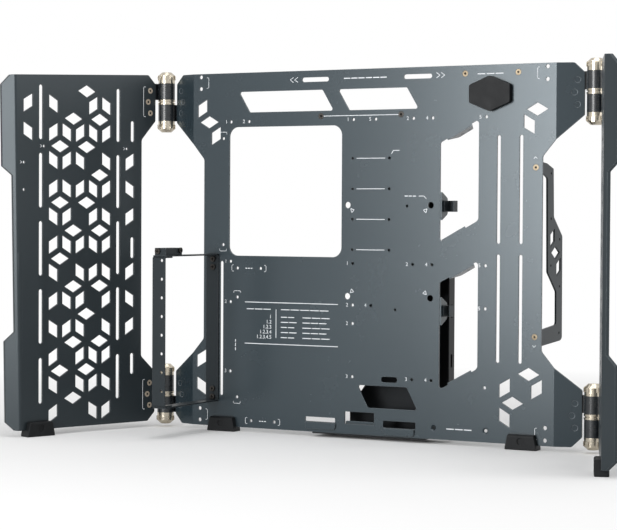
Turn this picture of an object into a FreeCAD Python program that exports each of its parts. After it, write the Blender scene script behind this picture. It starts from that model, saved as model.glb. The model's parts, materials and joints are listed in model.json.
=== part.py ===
"""Open air test bench: a flat centre panel on four feet with a wing hinged to each side.

Millimetres, +Z up. The origin is the centre of the 100 mm monitor-mount pattern on the front
face of the centre panel, and -Y points at the user. Most of the panel is laid out from the
top left board hole, the board datum, and each wing and hinge from its own hinge axis.
"""
import FreeCAD, Part
import math
import os
from types import SimpleNamespace

from FreeCAD import Placement, Rotation, Vector

# Driving dimensions: alias, value, meaning
SIZES = [
    ("mount_pitch", 100.0, "monitor mount, hole to hole"),
    ("mount_left", 148.45, "monitor mount, left holes from the board datum"),
    ("mount_upper", -93.55, "monitor mount, upper holes from the board datum"),
    ("mount_hole", 7.0, "monitor mount hole diameter"),
    ("panel_middle", 170.6, "middle of the centre panel, from the board datum"),
    ("panel_sheet", 2.0, "sheet of the centre panel"),
    ("panel_top", 55.0, "top edge, above the board datum"),
    ("panel_bottom", -345.0, "bottom edge"),
    ("bend_half", 220.1, "middle to the bend of an ear"),
    ("waist_half", 205.7, "middle to the waist edge"),
    ("ear_width", 29.3, "bend to the edge of an ear"),
    ("ear_angle", 17.4, "ear, folded back, degrees"),
    ("ear_chamfer", 10.3, "corner chamfer of ears and wings"),
    ("ear_upper", 0.5, "lower end of the upper ears"),
    ("ear_lower", -285.5, "upper end of the lower ears"),
    ("waist_upper", -42.0, "upper end of the waist edge"),
    ("waist_lower", -246.2, "lower end of the waist edge"),
    ("bend_radius", 1.5, "inside radius of the folds"),
    ("edge_round", 3.0, "rounding of outline corners"),
    ("board_hole", 3.4, "board hole diameter"),
    ("small_hole", 3.0, "small fixing hole diameter"),
    ("drive_hole", 3.2, "drive fixing hole diameter"),
    ("cover_hole", 4.4, "cover stand-off hole diameter"),
    ("supply_hole", 3.4, "power supply fixing hole diameter"),
    ("window_width", 143.0, "processor window width"),
    ("window_height", 145.0, "processor window height"),
    ("window_round", 11.0, "processor window corner radius"),
    ("window_left", -2.0, "processor window left edge"),
    ("window_upper", -6.0, "processor window upper edge"),
    ("cell_side", 14.0, "side of a diamond-shaped cell"),
    ("cell_pitch", 18.0, "column pitch of the cells"),
    ("pass_left", 259.3, "cable openings, left edge"),
    ("pass_width", 44.7, "cable openings, width"),
    ("pass_rise", 24.5, "cable openings, rise of the slanted edges"),
    ("pass_height", 107.5, "upper cable opening, height of its left edge"),
    ("pass_lower_height", 115.0, "lower cable opening, height of its left edge"),
    ("pass_tab", 16.4, "depth of the folded tabs behind the panel"),
    ("hook_tab", 16.4, "depth of the tabs that carry the strap hooks"),
    ("hook_tab_base", 30.0, "the same tabs, height at the panel"),
    ("hook_tab_end", 17.0, "the same tabs, height at their end"),
    ("lip_sheet", 2.2, "lips pressed out beside the bottom slots"),
    ("tie_slot", 4.0, "width of the long slots in the panel"),
    ("hook_sheet", 1.2, "sheet of the strap hooks"),
    ("floor", -350.0, "surface that the feet stand on"),
    ("foot_top", 29.0, "foot width at the top"),
    ("foot_base", 35.0, "foot width at the floor"),
    ("foot_front", 6.3, "foot, in front of the sheet"),
    ("foot_back", 6.2, "foot, behind the sheet"),
    ("foot_rise", 16.0, "height of the front of a foot"),
    ("foot_heel", 2.5, "back of a foot above the sheet's edge"),
    ("foot_recess", 7.6, "diameter of the round recess in a foot"),
    ("axis_reach", 12.1, "ear edge to the hinge axis"),
    ("axis_proud", 5.3, "hinge axis in front of the sheet"),
    ("hinge_upper", 24.2, "middle of the upper hinges"),
    ("hinge_lower", -312.0, "middle of the lower hinges"),
    ("barrel_radius", 9.6, "hinge barrel"),
    ("barrel_length", 18.8, "hinge barrel"),
    ("pin_radius", 4.0, "hinge pin"),
    ("pin_running", 0.05, "radial clearance of the turning barrel"),
    ("face_running", 0.1, "end clearance of the turning barrel"),
    ("ring_length", 5.6, "spacer ring between the barrels"),
    ("ring_radius", 10.0, "spacer ring"),
    ("ring_groove", 1.2, "groove between the halves of the spacer ring"),
    ("knob_radius", 10.4, "end knob"),
    ("knob_length", 12.9, "end knob"),
    ("knob_collar", 4.0, "plain collar of the end knob"),
    ("knob_taper", 4.3, "tapered end of the end knob"),
    ("knob_end", 5.6, "radius at the flat end of the end knob"),
    ("knob_bore", 8.0, "depth to which the pin enters a knob"),
    ("leaf_sheet", 3.0, "thickness of a hinge leaf"),
    ("leaf_height", 37.0, "height of a hinge leaf"),
    ("leaf_length", 29.3, "hinge axis to the far end of a leaf"),
    ("leaf_pitch", 25.6, "outer pair of leaf screws"),
    ("leaf_screw_outer", 7.3, "outer pair of leaf screws, from the sheet's edge"),
    ("leaf_screw_inner", 10.4, "third leaf screw, from the sheet's edge"),
    ("screw_head", 6.6, "countersunk head diameter"),
    ("screw_shank", 3.5, "screw shank diameter"),
    ("screw_clear", 0.05, "radial clearance round screws"),
    ("wing_sheet", 2.0, "sheet of the wings"),
    ("wing_top", 55.0, "top edge of the wings beside the hinges"),
    ("wing_bottom", -343.0, "bottom edge of the wings"),
    ("wing_corner", 199.8, "hinge axis to the outer fold, at mid height"),
    ("wing_lean", 7.0, "outer fold, further out at the top than at the bottom"),
    ("wing_drop", 8.4, "top edge, lower at the outer fold than at the hinges"),
    ("wing_waist", 31.8, "hinge axis to the inner waist edge"),
    ("flange_width", 16.8, "outer fold to the edge of the flange"),
    ("flange_waist", 5.3, "flange, narrow middle"),
    ("flange_angle", 50.0, "fold of the flange, degrees"),
    ("left_wing_angle", 70.0, "left wing, forward from flat, degrees"),
    ("right_wing_angle", 69.4, "right wing, forward from flat, degrees"),
    ("slot_width", 5.0, "long slots of the wings"),
    ("slot_length", 60.3, "long slots of the wings"),
    ("slot_pitch", 75.1, "long slots of the wings, down a column"),
    ("slot_inner", 64.9, "inner column of long slots, from the hinge axis"),
    ("slot_spacing", 105.3, "between the columns of long slots"),
    ("short_slot", 24.0, "short slots of the wings"),
    ("short_column", 44.7, "short slots, from the hinge axis"),
    ("short_pitch", 132.6, "short slots, down the column"),
    ("card_left", -31.0, "card bracket, left edge"),
    ("card_width", 16.0, "card bracket, strip width"),
    ("card_sheet", 1.5, "card bracket, sheet"),
    ("card_reach", 113.5, "card bracket, in front of the panel"),
    ("card_upper", -149.4, "card bracket, upper arm"),
    ("card_lower", -316.6, "card bracket, lower arm"),
    ("card_pitch", 20.32, "expansion card pitch"),
    ("card_first", -155.0, "first card screw hole"),
    ("card_column", -19.4, "column of card screw holes"),
    ("card_hole", 3.4, "card screw hole diameter"),
    ("clamp_length", 33.5, "clamp block on the upper arm"),
    ("clamp_height", 8.0, "clamp block"),
    ("pump_sheet", 2.0, "side bracket, sheet"),
    ("pump_foot", 16.0, "side bracket, feet on the panel"),
    ("pump_upper", -47.8, "side bracket, top"),
    ("pump_lower", -240.4, "side bracket, bottom"),
    ("tray_sheet", 1.5, "rear tray, sheet"),
    ("tray_depth", 34.5, "back of the rear tray behind the panel's face"),
    ("tray_top", -4.0, "top of the rear tray"),
    ("tray_tab", 8.5, "top of the screw tabs of the rear tray"),
    ("tray_rim", 14.0, "side rim of the rear tray"),
    ("hub_width", 72.0, "switch and port housing"),
    ("hub_height", 44.0, "switch and port housing"),
    ("hub_depth", 25.0, "switch and port housing"),
    ("hub_middle", 318.0, "middle of the housing"),
    ("hub_upper", 52.0, "top of the housing"),
    ("hub_bevel", 16.0, "lower corners of the housing, cut off"),
    ("cap_width", 46.4, "hexagonal cap, between its upright sides"),
    ("cap_height", 37.6, "hexagonal cap, point to point"),
    ("cap_side", 18.6, "hexagonal cap, upright side"),
    ("cap_middle", 24.4, "hexagonal cap, height of its middle"),
    ("cap_proud", 6.5, "hexagonal cap, in front of the panel"),
    ("cap_spigot", 0.72, "spigot behind the cap, as a share of the cap"),
]

doc = FreeCAD.newDocument("open_air_test_bench")
sheet = doc.addObject("Spreadsheet::Sheet", "sizes")
for row, (alias, value, meaning) in enumerate(SIZES, 1):
    sheet.set("A%d" % row, alias)
    sheet.set("B%d" % row, repr(value))
    sheet.set("C%d" % row, meaning)
    sheet.setAlias("B%d" % row, alias)
doc.recompute()
s = SimpleNamespace(**{alias: float(sheet.get(alias)) for alias, value, meaning in SIZES})

# The board datum, seen from the origin at the middle of the monitor mount
BOARD = Vector(-s.mount_left - s.mount_pitch / 2, 0, -s.mount_upper + s.mount_pitch / 2)
BOARD_X = "-sizes.mount_left - sizes.mount_pitch / 2"
BOARD_Z = "-sizes.mount_upper + sizes.mount_pitch / 2"
FAR = 600.0                     # beyond every edge, for outlines that trim a sheet
ROW_RISE = math.sqrt(3)         # rows of cells rise by this many column pitches
NODES = []


# Geometry of outlines

def line(a, b):
    return Part.LineSegment(Vector(a[0], a[1], 0), Vector(b[0], b[1], 0))


def arc(centre, radius, start, end):
    """Arc from angle start to angle end, in radians, drawn anticlockwise."""
    circle = Part.Circle(Vector(centre[0], centre[1], 0), Vector(0, 0, 1), radius)
    return Part.ArcOfCircle(circle, min(start, end), max(start, end))


def heading(a, b):
    return math.atan2(b[1] - a[1], b[0] - a[0])


def turn_between(before, after):
    return (after - before + math.pi) % (2 * math.pi) - math.pi


def outline(corners):
    """Closed outline. A corner is (x, y) or (x, y, radius)."""
    count = len(corners)
    edges, starts, ends = [], [], []
    for i, corner in enumerate(corners):
        before, after = corners[i - 1], corners[(i + 1) % count]
        radius = corner[2] if len(corner) > 2 else 0
        way_in, way_out = heading(before, corner), heading(corner, after)
        turn = turn_between(way_in, way_out)
        if not radius or abs(turn) < 1e-6:
            starts.append(corner[:2])
            ends.append(corner[:2])
            continue
        back = radius * math.tan(abs(turn) / 2)
        side = math.copysign(1, turn)
        start = (corner[0] - back * math.cos(way_in), corner[1] - back * math.sin(way_in))
        centre = (start[0] - side * radius * math.sin(way_in), start[1] + side * radius * math.cos(way_in))
        first = way_in - side * math.pi / 2
        edges.append(arc(centre, radius, first, first + turn))
        starts.append(start)
        ends.append((corner[0] + back * math.cos(way_out), corner[1] + back * math.sin(way_out)))
    for i in range(count):
        a, b = ends[i], starts[(i + 1) % count]
        if math.dist(a, b) > 1e-6:
            edges.append(line(a, b))
    return edges


def box_outline(x0, y0, x1, y1, radius=0):
    return outline([(x0, y0, radius), (x1, y0, radius), (x1, y1, radius), (x0, y1, radius)])


def circle(x, y, diameter):
    return [Part.Circle(Vector(x, y, 0), Vector(0, 0, 1), diameter / 2)]


def slot(x, y, length, width):
    """Upright slot with round ends, centred on (x, y)."""
    return box_outline(x - width / 2, y - length / 2, x + width / 2, y + length / 2, width / 2 - 1e-4)


def folded(path, thickness, radius):
    """Closed section of a folded sheet: path is the middle of the sheet, radius the inside of a fold."""
    corners = []
    for i, point in enumerate(path):
        way_in = heading(path[i - 1], point) if i else heading(point, path[1])
        way_out = heading(point, path[i + 1]) if i + 1 < len(path) else way_in
        corners.append((point, (way_in + turn_between(way_in, way_out) / 2), turn_between(way_in, way_out)))
    sides = []
    for side in (1, -1):
        run = []
        for point, way, turn in corners:
            off = side * thickness / 2 / math.cos(turn / 2)
            bend = radius if turn * side > 0 else radius + thickness
            run.append((point[0] - off * math.sin(way), point[1] + off * math.cos(way), bend if turn else 0))
        sides.append(run)
    return outline(sides[1] + sides[0][::-1])


def leaning_cell(x, y, rising):
    """Diamond with two upright sides. rising: its slanted sides go up to the right."""
    half = s.cell_side * ROW_RISE / 4
    slant = s.cell_side / 4 * (1 if rising else -1)
    up = s.cell_side / 2
    return outline([(x - half, y - up - slant), (x + half, y - up + slant),
                    (x + half, y + up + slant), (x - half, y + up - slant)])


def flat_cell(x, y):
    half, up = s.cell_side * ROW_RISE / 2, s.cell_side / 2
    return outline([(x - half, y), (x, y - up), (x + half, y), (x, y + up)])


# Bodies and features

def new_body(label, place):
    body = doc.addObject("PartDesign::Body", label)
    body.Label = label
    body.Placement = place
    NODES.append(body)
    return body


def board_body(label):
    """Body laid out from the board datum."""
    body = new_body(label, Placement(BOARD, Rotation()))
    body.setExpression("Placement.Base.x", BOARD_X)
    body.setExpression("Placement.Base.z", BOARD_Z)
    return body


def draw(body, name, role, edges, place=None, lift=None):
    """Sketch on one of the body's planes. lift: expression for its distance along the plane's normal."""
    plane = [feature for feature in body.Origin.OriginFeatures if feature.Role == role][0]
    sketch = body.newObject("Sketcher::SketchObject", body.Label + "_" + name)
    sketch.AttachmentSupport = (plane, [""])
    sketch.MapMode = "FlatFace"
    if place:
        sketch.AttachmentOffset = place
    if lift:
        sketch.setExpression("AttachmentOffset.Base.z", lift)
    sketch.addGeometry(edges, False)
    return sketch


def pad(body, name, role, edges, length, place=None, lift=None, back=False, lean=None):
    """Solid from a closed outline. length is an expression. back: against the plane's normal."""
    sketch = draw(body, name + "_outline", role, edges, place, lift)
    feature = body.newObject("PartDesign::Pad", body.Label + "_" + name)
    feature.Profile = sketch
    feature.setExpression("Length", length)
    feature.Reversed = back
    if lean:
        feature.UseCustomVector = True
        feature.Direction = lean
        feature.AlongSketchNormal = True
    feature.Refine = False
    return feature


def cut(body, name, role, edges, place=None, lift=None, depth=None, back=False):
    """Cuts outlines right through the body, or to a depth given as an expression."""
    sketch = draw(body, name + "_outline", role, edges, place, lift)
    feature = body.newObject("PartDesign::Pocket", body.Label + "_" + name)
    feature.Profile = sketch
    if depth:
        feature.setExpression("Length", depth)
        feature.Reversed = back
    else:
        feature.Type = 1
        feature.Midplane = True
    feature.Refine = False
    return feature


def trim(body, name, role, corners):
    """Removes everything outside an outline."""
    return cut(body, name, role, box_outline(-FAR, -FAR, FAR, FAR) + outline(corners))


def shape_node(label, shape, place):
    node = doc.addObject("Part::Feature", label)
    node.Label = label
    node.Shape = shape
    node.Placement = place
    NODES.append(node)
    return node


def countersink(at, way, sheet_thickness, extra=0.0):
    """Cone of a countersunk head in a sheet, from its face at the point given."""
    head, shank = s.screw_head / 2 + extra, s.screw_shank / 2 + extra
    depth = min(head - shank, sheet_thickness)
    return Part.makeCone(head, head - depth, depth, at, way)


def screw(at, way, length, sheet_thickness):
    """Countersunk screw with a hexagonal socket, head flush at the point given."""
    body = countersink(at, way, sheet_thickness).fuse(Part.makeCylinder(s.screw_shank / 2, length, at, way))
    socket = s.screw_head / 5
    wide = [Vector(socket * math.cos(math.radians(60 * k)), socket * math.sin(math.radians(60 * k)), 0)
            for k in range(7)]
    key = Part.Face(Part.makePolygon(wide)).extrude(Vector(0, 0, socket))
    key.Placement = Placement(at, Rotation(Vector(0, 0, 1), way))
    return body.cut(key).removeSplitter()


def screw_clearances(points, way, length, sheet_thickness):
    """Tools that clear a sheet and its backing for countersunk screws."""
    tools = [Part.makeCylinder(s.screw_shank / 2 + s.screw_clear, length, p, way) for p in points]
    tools += [countersink(p, way, sheet_thickness, s.screw_clear) for p in points]
    return Part.makeCompound(tools)


def bore(body, name, tools):
    """Subtracts tool solids, given in the body's own frame, inside the body."""
    binder = doc.addObject("Part::Feature", body.Label + "_" + name + "_tools")
    binder.Shape = tools
    holder = doc.addObject("PartDesign::Body", body.Label + "_" + name + "_holder")
    holder.BaseFeature = binder
    boolean = body.newObject("PartDesign::Boolean", body.Label + "_" + name)
    boolean.Type = 1
    boolean.addObject(holder)
    boolean.Refine = False
    return boolean


# Places shared by the pieces

EAR = math.radians(s.ear_angle)
BEND_LEFT, BEND_RIGHT = s.panel_middle - s.bend_half, s.panel_middle + s.bend_half
EAR_OUT = s.ear_width * math.cos(EAR)
EAR_BACK = s.ear_width * math.sin(EAR)
WAIST_LEFT, WAIST_RIGHT = s.panel_middle - s.waist_half, s.panel_middle + s.waist_half


def hinge_axis(side):
    """Hinge axis in the board frame. side is -1 on the left and 1 on the right."""
    reach = s.ear_width + s.axis_reach
    out = s.bend_half + reach * math.cos(EAR) + s.axis_proud * math.sin(EAR)
    back = reach * math.sin(EAR) - s.axis_proud * math.cos(EAR)
    return Vector(s.panel_middle + side * out, back, 0)


def wing_place(side):
    """Frame of a wing: +X runs out along the wing from its hinge axis."""
    turn = 180 + s.left_wing_angle if side < 0 else -s.right_wing_angle
    return Placement(BOARD + hinge_axis(side), Rotation(Vector(0, 0, 1), turn))


def ear_place(side):
    """Frame of an ear's hinge leaf: +X runs from the hinge axis along the ear to its bend."""
    turn = -s.ear_angle if side < 0 else 180 + s.ear_angle
    return Placement(BOARD + hinge_axis(side), Rotation(Vector(0, 0, 1), turn))


def outward(side, ear):
    """Sign of Y, in an ear or wing frame, that points to the outer side of the sheet."""
    return -side if ear else side


def leaf_screw_points(side, edge, ear, levels=None):
    """Heads and direction of the leaf screws, in the ear or wing frame."""
    sign, half = outward(side, ear), s.leaf_pitch / 2
    outer, inner = edge + s.leaf_screw_outer, edge + s.leaf_screw_inner
    points = []
    for middle in levels or (s.hinge_upper, s.hinge_lower):
        for v, z in ((outer, middle + half), (inner, middle), (outer, middle - half)):
            points.append(Vector(v, sign * s.axis_proud, z))
    return points, Vector(0, sign, 0)


HINGES = (("upper", s.hinge_upper), ("lower", s.hinge_lower))
SIDES = (("left", -1), ("right", 1))


# Centre panel

COVER = [(s.panel_middle + side * 210.5, z) for side in (-1, 1) for z in (51.4, 38.1, -326.0, -339.1)]
BOARD_HOLES = [(0, 0), (23.3, 0), (154.94, 0), (182.2, 0), (227.33, 0), (250.19, 0), (312.42, 0),
               (0, -157.48), (154.94, -157.48), (227.33, -157.48), (250.19, -157.48), (312.42, -157.48),
               (0, -203.2), (154.94, -203.2), (177.5, -203.2), (312.42, -203.2), (154.94, -223.5),
               (0, -281.94), (154.94, -281.94), (227.33, -281.94), (250.19, -281.94), (312.42, -287.0)]
SUPPLY = [(-9.9, -18.6), (-9.9, -138.8), (9.0, -165.0), (39.0, -165.0),
          (9.0, -197.8), (9.0, -310.9), (27.5, -337.0), (57.5, -337.0)]
STRAYS = [(220.3, -94.4), (206.8, -207.0)]
TRAY_SCREWS = [(114.8, 4.4), (212.5, 4.6)]
HUB_SCREWS = [(s.hub_middle - 30.3, 46.3), (s.hub_middle + 30.3, 46.3)]
HUB_SPARE = [(253.2, -332.7), (313.8, -332.7)]
PUMP_SCREWS = [(368.8, -53.8), (368.8, -231.2)]
CARD_SCREWS = [(s.card_left + s.card_width / 2 + 1.0, z) for z in
               (s.card_upper - 5.8, s.card_upper - 14.8, s.card_lower + 14.0, s.card_lower + 5.0)]


def panel_outline():
    """Front outline of the centre panel, ears included."""
    m, r = s.panel_middle, s.edge_round
    waist, bend, edge = s.waist_half, s.bend_half, s.bend_half + EAR_OUT
    short = s.ear_chamfer
    right = [(edge - short, s.panel_top, r), (edge, s.panel_top - short, r), (edge, s.ear_upper, r),
             (bend, s.ear_upper - EAR_OUT * 0.9), (waist, s.waist_upper, 2 * r), (waist, s.waist_lower, 2 * r),
             (bend, s.ear_lower + EAR_OUT * 0.8), (edge, s.ear_lower, r), (edge, s.panel_bottom + short, r),
             (edge - short, s.panel_bottom, r)]
    left = [(m - c[0],) + c[1:] for c in right[::-1]]
    return [(m + c[0],) + c[1:] for c in right] + left


def pass_outline(upper, height):
    """Cable opening: a parallelogram with rounded corners. upper is the top of its left edge."""
    x0, x1, r = s.pass_left, s.pass_left + s.pass_width, 3.0
    return outline([(x0, upper, r), (x1, upper + s.pass_rise, r),
                    (x1, upper + s.pass_rise - height, 2 * r), (x0, upper - height, r)])


UPPER_PASS, LOWER_PASS = -26.5, -176.6
SLANT = math.degrees(math.atan2(s.pass_rise, s.pass_width))


def panel_openings():
    x0, z1 = s.window_left, s.window_upper
    edges = box_outline(x0, z1 - s.window_height, x0 + s.window_width, z1, s.window_round)
    for x in (90.7, 215.4):
        edges += box_outline(x, 42.5, x + 33.6, 47.5, 2.4)
    for x0, x1 in ((10.0, 116.5), (135.5, 219.4)):
        edges += outline([(x0, 33.5, 2), (x0 + 14, 10.3, 2), (x1 + 14, 10.3, 2), (x1, 33.5, 2)])
    edges += pass_outline(UPPER_PASS, s.pass_height) + pass_outline(LOWER_PASS, s.pass_lower_height)
    for x in (327.0, 352.4):
        for z in (-76.8, -202.6):
            edges += slot(x, z, 114.6, s.tie_slot)
    edges += slot(-11.4, -233.6, 152.5, s.tie_slot)
    edges += outline([(161.5, -290.6, 2), (174.7, -315.0, 2), (234.0, -315.0, 2), (221.3, -290.6, 2)])
    edges += box_outline(190.5, -286.4, 209.8, -280.2, 2.5)
    edges += box_outline(97.0, -333.4, 134.3, -328.4, 1.0)
    edges += box_outline(146.1, -334.0, 182.3, -320.4, 1.0)
    edges += box_outline(193.0, -335.6, 232.1, -328.2, 1.0)
    return edges


def panel_cells():
    p = s.cell_pitch
    rise = p * ROW_RISE / 2
    edges = []
    x, z = -28.8, 0.1
    edges += leaning_cell(x - p / 2, z + rise, True) + flat_cell(x, z) + leaning_cell(x + p / 2, z - rise, True)
    x, z = -38.0, -269.0
    edges += leaning_cell(x, z, True) + leaning_cell(x, z - 2 * rise, False)
    x, z = 370.0, 7.1
    edges += flat_cell(x, z) + leaning_cell(x - p / 2, z - rise, False)
    x, z = 362.2, -270.7
    edges += flat_cell(x, z) + flat_cell(x - p, z - 2 * rise)
    edges += leaning_cell(x - 1.5 * p, z - rise, True) + leaning_cell(x + p / 2, z - rise, True)
    edges += leaning_cell(x - 1.5 * p, z - 3 * rise, False)
    return edges


def panel_holes():
    edges = []
    groups = ((BOARD_HOLES, s.board_hole), (SUPPLY, s.supply_hole), (STRAYS, s.small_hole),
              (COVER, s.cover_hole))
    for points, diameter in groups:
        for x, z in points:
            edges += circle(x, z, diameter)
    for x in (154.4, 154.4 + 44.45):
        for z in (-42.5, -75.8, -109.1, -142.4):
            edges += circle(x, z, s.drive_hole)
    for x in (s.mount_left, s.mount_left + s.mount_pitch):
        for z in (s.mount_upper, s.mount_upper - s.mount_pitch):
            edges += circle(x, z, s.mount_hole)
    return edges


def cap_outline(share, radius):
    """Hexagon with upright sides, scaled about its middle."""
    w, h, side = s.cap_width / 2 * share, s.cap_height / 2 * share, s.cap_side / 2 * share
    x, z = s.hub_middle, s.cap_middle
    return outline([(x - w, z - side, radius), (x, z - h, 2 * radius), (x + w, z - side, radius),
                    (x + w, z + side, radius), (x, z + h, 2 * radius), (x - w, z + side, radius)])


def fold_tab(body, name, x, z, length, slots, below):
    """Tab folded back from a slanted edge of an opening, with small strap slots."""
    depth = s.pass_tab
    edges = outline([(0, 0), (length, 0), (length - 7, depth, 3), (7, depth, 3)])
    for at in slots:
        edges += box_outline(length * at - 2, depth * 0.62, length * at + 2, depth * 0.62 + 1.8, 0.5)
    place = Placement(Vector(x, 0, z), Rotation(Vector(0, 1, 0), -SLANT))
    pad(body, name, "XY_Plane", edges, "sizes.panel_sheet", place=place, back=below)


def centre_panel():
    body = board_body("centre_panel")
    t = s.panel_sheet
    path = [(BEND_LEFT - EAR_OUT - FAR / 50, t / 2 + (EAR_OUT + FAR / 50) * math.tan(EAR)), (BEND_LEFT, t / 2),
            (BEND_RIGHT, t / 2), (BEND_RIGHT + EAR_OUT + FAR / 50, t / 2 + (EAR_OUT + FAR / 50) * math.tan(EAR))]
    pad(body, "sheet", "XY_Plane", folded(path, t, s.bend_radius),
        "sizes.panel_top - sizes.panel_bottom", lift="sizes.panel_bottom")
    trim(body, "edge", "XZ_Plane", panel_outline())
    cut(body, "openings", "XZ_Plane", panel_openings())
    x0, upper, lower = s.pass_left, UPPER_PASS, LOWER_PASS
    slope = s.pass_rise / s.pass_width
    fold_tab(body, "upper_top_tab", x0 + 7.8, upper + 7.8 * slope, 32.5, (0.42, 0.72), True)
    fold_tab(body, "upper_low_tab", x0 + 3, upper - s.pass_height + 3 * slope, 31, (), False)
    fold_tab(body, "lower_top_tab", x0 + 11, lower + 11 * slope, 32.5, (0.6,), True)
    fold_tab(body, "lower_low_tab", x0 + 11, lower - s.pass_lower_height + 11 * slope, 31, (), False)
    for name, middle in (("upper_hook_tab", -94.5), ("lower_hook_tab", -207.2)):
        base, end = s.hook_tab_base / 2, s.hook_tab_end / 2
        edges = outline([(0.5, middle - base), (s.panel_sheet, middle - base), (s.hook_tab, middle - end, 4),
                         (s.hook_tab, middle + end, 4), (s.panel_sheet, middle + base), (0.5, middle + base)])
        pad(body, name, "YZ_Plane", edges, "sizes.panel_sheet", lift="sizes.pass_left - 0.05")
    for name, x, width, z in (("first_hook", 98.0, 37.0, -341.4), ("third_hook", 193.2, 37.6, -343.4)):
        edges = outline([(x, z, 1), (x + width, z, 3), (x + width, z + 7.2), (x, z + 7.2)])
        pad(body, name, "XZ_Plane", edges, "sizes.lip_sheet")
    edges = outline([(146.8, -341.5, 1), (181.6, -341.5, 1), (181.6, -330.8, 2.5), (146.8, -330.8, 1)])
    pad(body, "second_hook", "XZ_Plane", edges, "sizes.lip_sheet", lift="-sizes.panel_sheet", back=True)
    cut(body, "cells", "XZ_Plane", panel_cells() + cap_outline(s.cap_spigot + 0.02, 2.0))
    cut(body, "holes", "XZ_Plane", panel_holes())
    way = Vector(0, 1, 0)
    flat = [Vector(x, 0, z) for x, z in HUB_SCREWS + HUB_SPARE + PUMP_SCREWS + TRAY_SCREWS]
    tools = [screw_clearances(flat, way, 3 * t, t)]
    tools += [Part.makeCylinder(s.screw_shank / 2 + s.screw_clear, 3 * t, Vector(x, -t, z), way)
              for x, z in CARD_SCREWS]
    for name, side in SIDES:
        tool = screw_clearances(*leaf_screw_points(side, s.axis_reach, True), 3 * t, t)
        tool.Placement = Placement(hinge_axis(side), ear_place(side).Rotation)
        tools.append(tool)
    bore(body, "screw_holes", Part.makeCompound(tools))
    return body


# Feet

def foot(label, place_body, x, edge, inner, sheet_inner):
    """Foot with a slot for the sheet. inner: sign of Y on the tall side."""
    body = place_body(label)
    t, floor = s.panel_sheet, s.floor
    top, heel, slot_top = floor + s.foot_rise, edge + s.foot_heel, edge
    y_front, y_back = sheet_inner + inner * s.foot_front, sheet_inner - inner * (t + s.foot_back)
    y_sheet = sheet_inner - inner * t
    section = outline([(y_front, floor, 0.8), (y_front, top, 2.5), (sheet_inner, top), (sheet_inner, slot_top),
                       (y_sheet, slot_top), (y_sheet, heel), (y_back, heel, 1.5), (y_back, floor, 0.8)])
    half = s.foot_base / 2
    pad(body, "block", "YZ_Plane", section, "sizes.foot_base",
        place=Placement(Vector(0, 0, x - half), Rotation()))
    narrow = s.foot_top / 2
    trim(body, "sides", "XZ_Plane", [(x - half, floor - 5), (x + half, floor - 5), (x + half, floor + 2, 1),
                                     (x + narrow, top, 2), (x + narrow, top + 5), (x - narrow, top + 5),
                                     (x - narrow, top, 2), (x - half, floor + 2, 1)])
    depth = 1.2
    disc = Part.makeCylinder(s.foot_recess / 2, depth + 1, Vector(x, y_front + inner, top - 7.0),
                             Vector(0, -inner, 0))
    bore(body, "recess", disc)
    return body


# Hinges

def span(side, name, ear):
    """Lower end and length of a barrel, as expressions. The upper barrel is the left wing's."""
    upper = (side < 0) != ear
    middle, ring = "sizes.hinge_%s" % name, "sizes.ring_length / 2"
    free = "0" if ear else "sizes.face_running"
    low = "%s + %s + %s" % (middle, ring, free)
    if not upper:
        low = "%s - %s - sizes.barrel_length + %s" % (middle, ring, free)
    return low, "sizes.barrel_length - 2 * %s" % free


def hinge_leaf(side_name, side, name, middle, ear):
    owner = "ear" if ear else "wing"
    body = new_body("%s_%s_%s_leaf" % (side_name, name, owner), ear_place(side) if ear else wing_place(side))
    sign = outward(side, ear)
    near = sign * (s.axis_proud + s.panel_sheet)
    far = near + sign * s.leaf_sheet
    low, length = span(side, name, ear)
    start = s.axis_reach + 0.6
    pad(body, "barrel", "XY_Plane", circle(0, 0, 2 * s.barrel_radius), length, lift=low)
    tongue = outline([(0, near), (start + 2, near), (start + 2, far), (start, far), (0, sign * s.barrel_radius)])
    pad(body, "tongue", "XY_Plane", tongue, length, lift=low)
    plate = outline([(start, near), (s.leaf_length, near), (s.leaf_length, far), (start, far)])
    pad(body, "plate", "XY_Plane", plate, "sizes.leaf_height",
        lift="sizes.hinge_%s - sizes.leaf_height / 2" % name)
    z = s.leaf_height / 2
    trim(body, "corners", "XZ_Plane", [(-20, middle - 50), (start, middle - 50), (start, middle - z, 3),
                                       (s.leaf_length, middle - z, 4), (s.leaf_length, middle + z, 4),
                                       (start, middle + z, 3), (start, middle + 50), (-20, middle + 50)])
    free = 0 if ear else s.pin_running
    cut(body, "pin_bore", "XY_Plane", circle(0, 0, 2 * (s.pin_radius + free)))
    points, way = leaf_screw_points(side, s.axis_reach, ear, [middle])
    bore(body, "screw_holes", screw_clearances(points, way, 12, s.panel_sheet))
    return body


def revolved(body, name, corners):
    """Solid turned about the body's Z axis. corners are (radius, height)."""
    sketch = draw(body, name + "_section", "XZ_Plane", outline(corners))
    feature = body.newObject("PartDesign::Revolution", body.Label + "_" + name)
    feature.Profile = sketch
    feature.ReferenceAxis = (sketch, ["V_Axis"])
    feature.Angle = 360
    feature.Refine = False
    return feature


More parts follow.
